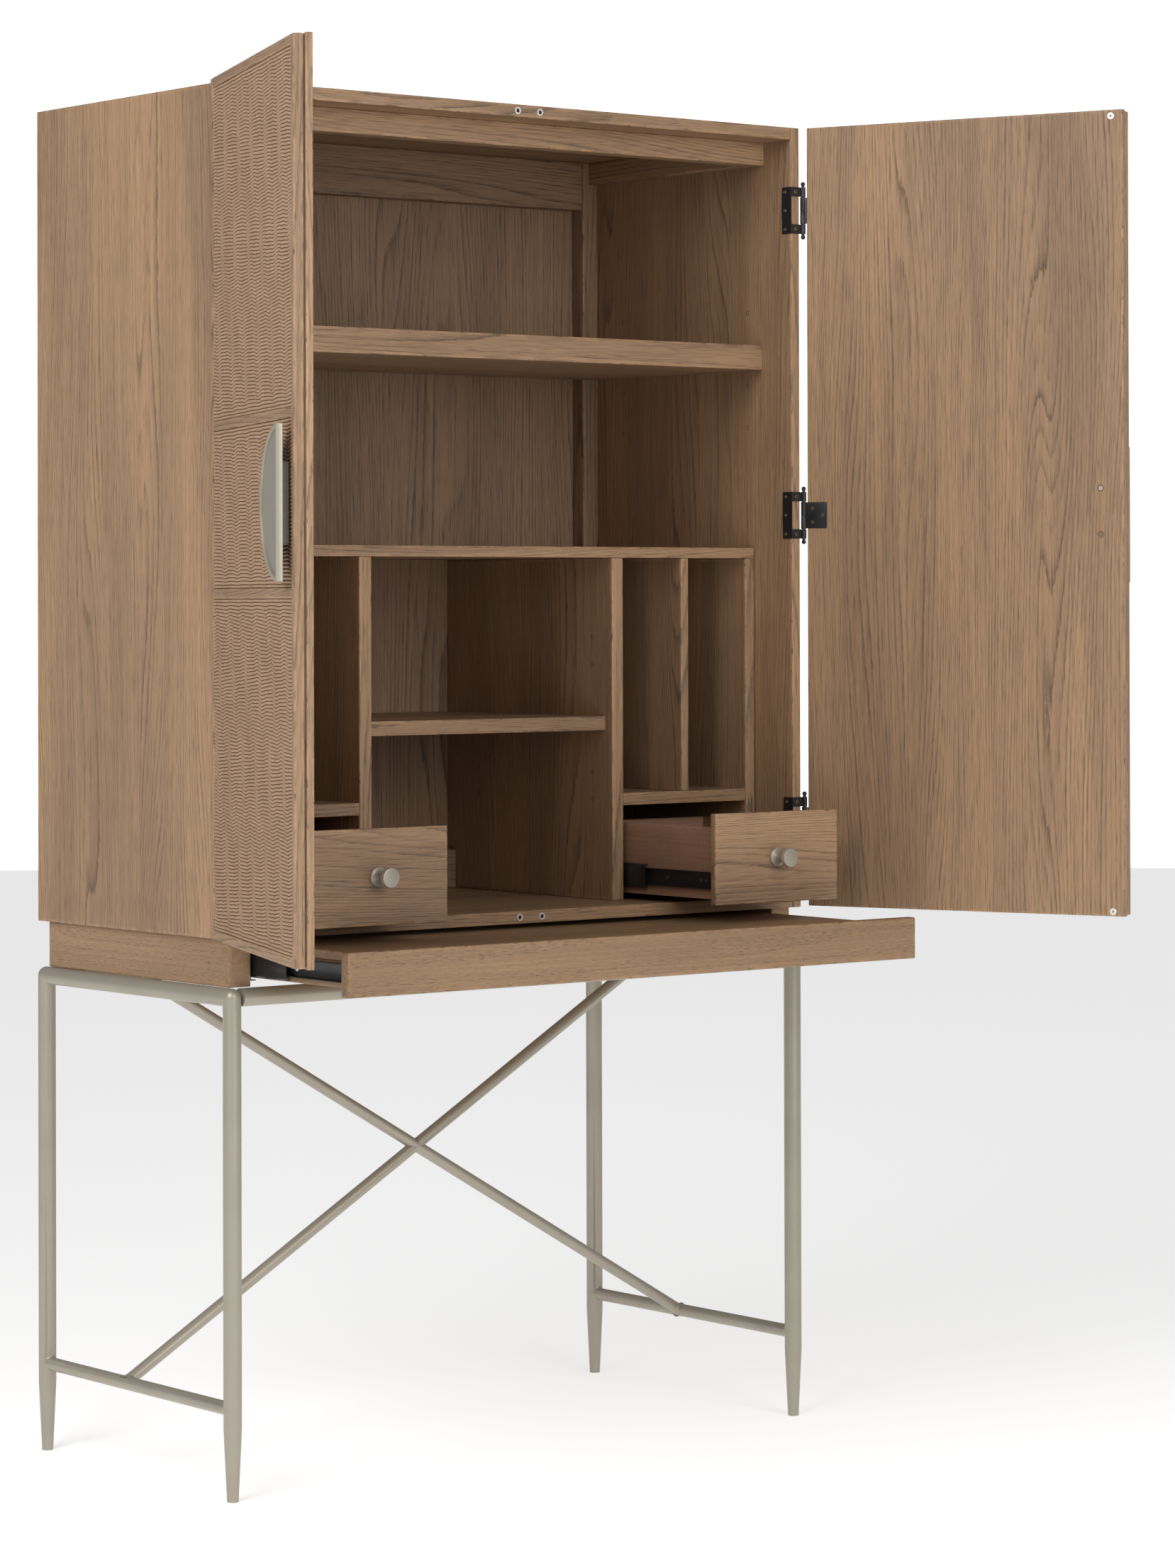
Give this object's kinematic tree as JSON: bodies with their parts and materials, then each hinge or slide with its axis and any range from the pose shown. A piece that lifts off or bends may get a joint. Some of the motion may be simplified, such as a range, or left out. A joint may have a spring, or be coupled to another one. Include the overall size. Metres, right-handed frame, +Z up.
{
  "type": "secretary desk",
  "caption": "Tall oak secretary desk on a braced metal tube stand, with cane-fronted double doors, a drawer and cubby organiser inside and a pull-out writing tray.",
  "frame": {"origin": "on the floor, under the middle of the whole open desk, doors, tray and handles included", "axes": "+Z up, front towards -Y, +X to the right when facing the front"},
  "size_m": [1.503, 0.9835, 1.933],
  "materials": {
    "oak": "satin, wire-brushed grain",
    "oak_dark": "matte, dark stain",
    "walnut": "satin, short dark pores",
    "redwood": "satin, red-brown stain",
    "champagne_metal": "satin, warm pewter",
    "black_steel": "satin black",
    "cane": "matte, tight woven cane ribs"
  },
  "bodies": {
    "cabinet": {"end_frame_left": "champagne_metal", "end_frame_right": "champagne_metal", "stand_rail_front": "champagne_metal", "stand_rail_back": "champagne_metal", "brace_long": "champagne_metal", "brace_upper_half": "champagne_metal", "brace_lower_half": "champagne_metal", "plinth_side_left": "walnut", "plinth_side_right": "walnut", "plinth_back": "walnut", "side_panel_left": "oak", "side_panel_right": "oak", "top_panel": "oak", "bottom_panel": "oak", "back_frame": "oak_dark", "back_panel": "oak_dark", "header_rail": "oak", "upper_shelf": "oak", "organiser_top": "oak", "organiser_end_left": "oak", "organiser_end_right": "oak", "partition_left": "oak", "partition_right": "oak", "middle_shelf": "oak", "cubby_floor_left": "oak", "cubby_floor_right": "oak", "cubby_divider_left": "oak", "cubby_divider_right": "oak", "hinge_left_top": "black_steel", "hinge_left_middle": "black_steel", "hinge_left_bottom": "black_steel", "hinge_right_top": "black_steel", "hinge_right_middle": "black_steel", "hinge_right_bottom": "black_steel", "tray_slide_outer_left": "black_steel", "tray_slide_outer_right": "black_steel"},
    "tray": {"tray_fascia": "walnut", "tray_board": "oak", "tray_side_left": "walnut", "tray_side_right": "walnut", "tray_slide_inner_left": "black_steel", "tray_slide_inner_right": "black_steel"},
    "tray_runners": {"tray_slide_middle_left": "black_steel", "tray_slide_middle_right": "black_steel"},
    "drawer_left": {"drawer_front_left": "oak", "drawer_box_left": "redwood", "drawer_knob_left": "champagne_metal"},
    "drawer_left_runners": {"drawer_runner_left_inner": "black_steel", "drawer_runner_left_outer": "black_steel"},
    "door_left": {"door_slab_left": "oak", "door_face_left": "oak", "door_handle_left": "champagne_metal"},
    "drawer_right": {"drawer_front_right": "oak", "drawer_box_right": "redwood", "drawer_knob_right": "champagne_metal"},
    "drawer_right_runners": {"drawer_runner_right_inner": "black_steel", "drawer_runner_right_outer": "black_steel"},
    "door_right": {"door_slab_right": "oak", "door_face_right": "oak", "door_handle_right": "champagne_metal"}
  },
  "joints": [
    {"name": "door_left_hinge", "type": "hinge", "parent": "cabinet", "child": "door_left", "pos_m": [-0.5185, -0.0123, 1.349], "axis": [0, 0, 1], "range_deg": [0, 112]},
    {"name": "drawer_left_slide", "type": "slide", "parent": "cabinet", "child": "drawer_left", "axis": [0, 1, 0], "range_m": [0, 0.209]},
    {"name": "drawer_left_runner_slide", "type": "slide", "parent": "cabinet", "child": "drawer_left_runners", "axis": [0, 1, 0], "range_m": [0, 0.05643]},
    {"name": "door_right_hinge", "type": "hinge", "parent": "cabinet", "child": "door_right", "pos_m": [0.5185, -0.0123, 1.349], "axis": [0, 0, -1], "range_deg": [0, 112]},
    {"name": "drawer_right_slide", "type": "slide", "parent": "cabinet", "child": "drawer_right", "axis": [0, 1, 0], "range_m": [0, 0.209]},
    {"name": "drawer_right_runner_slide", "type": "slide", "parent": "cabinet", "child": "drawer_right_runners", "axis": [0, 1, 0], "range_m": [0, 0.05643]},
    {"name": "tray_slide", "type": "slide", "parent": "cabinet", "child": "tray", "axis": [0, 1, 0], "range_m": [-0.038, 0.262]},
    {"name": "tray_runner_slide", "type": "slide", "parent": "cabinet", "child": "tray_runners", "axis": [0, 1, 0], "range_m": [-0.01178, 0.08122]}
  ],
  "couplings": [
    {"joint": "drawer_left_slide", "follows": "door_left_hinge", "m_per_rad": 0.10692},
    {"joint": "drawer_left_runner_slide", "follows": "door_left_hinge", "m_per_rad": 0.028868},
    {"joint": "drawer_right_slide", "follows": "door_right_hinge", "m_per_rad": 0.10692},
    {"joint": "drawer_right_runner_slide", "follows": "door_right_hinge", "m_per_rad": 0.028868},
    {"joint": "tray_runner_slide", "follows": "tray_slide", "ratio": 0.31}
  ]
}
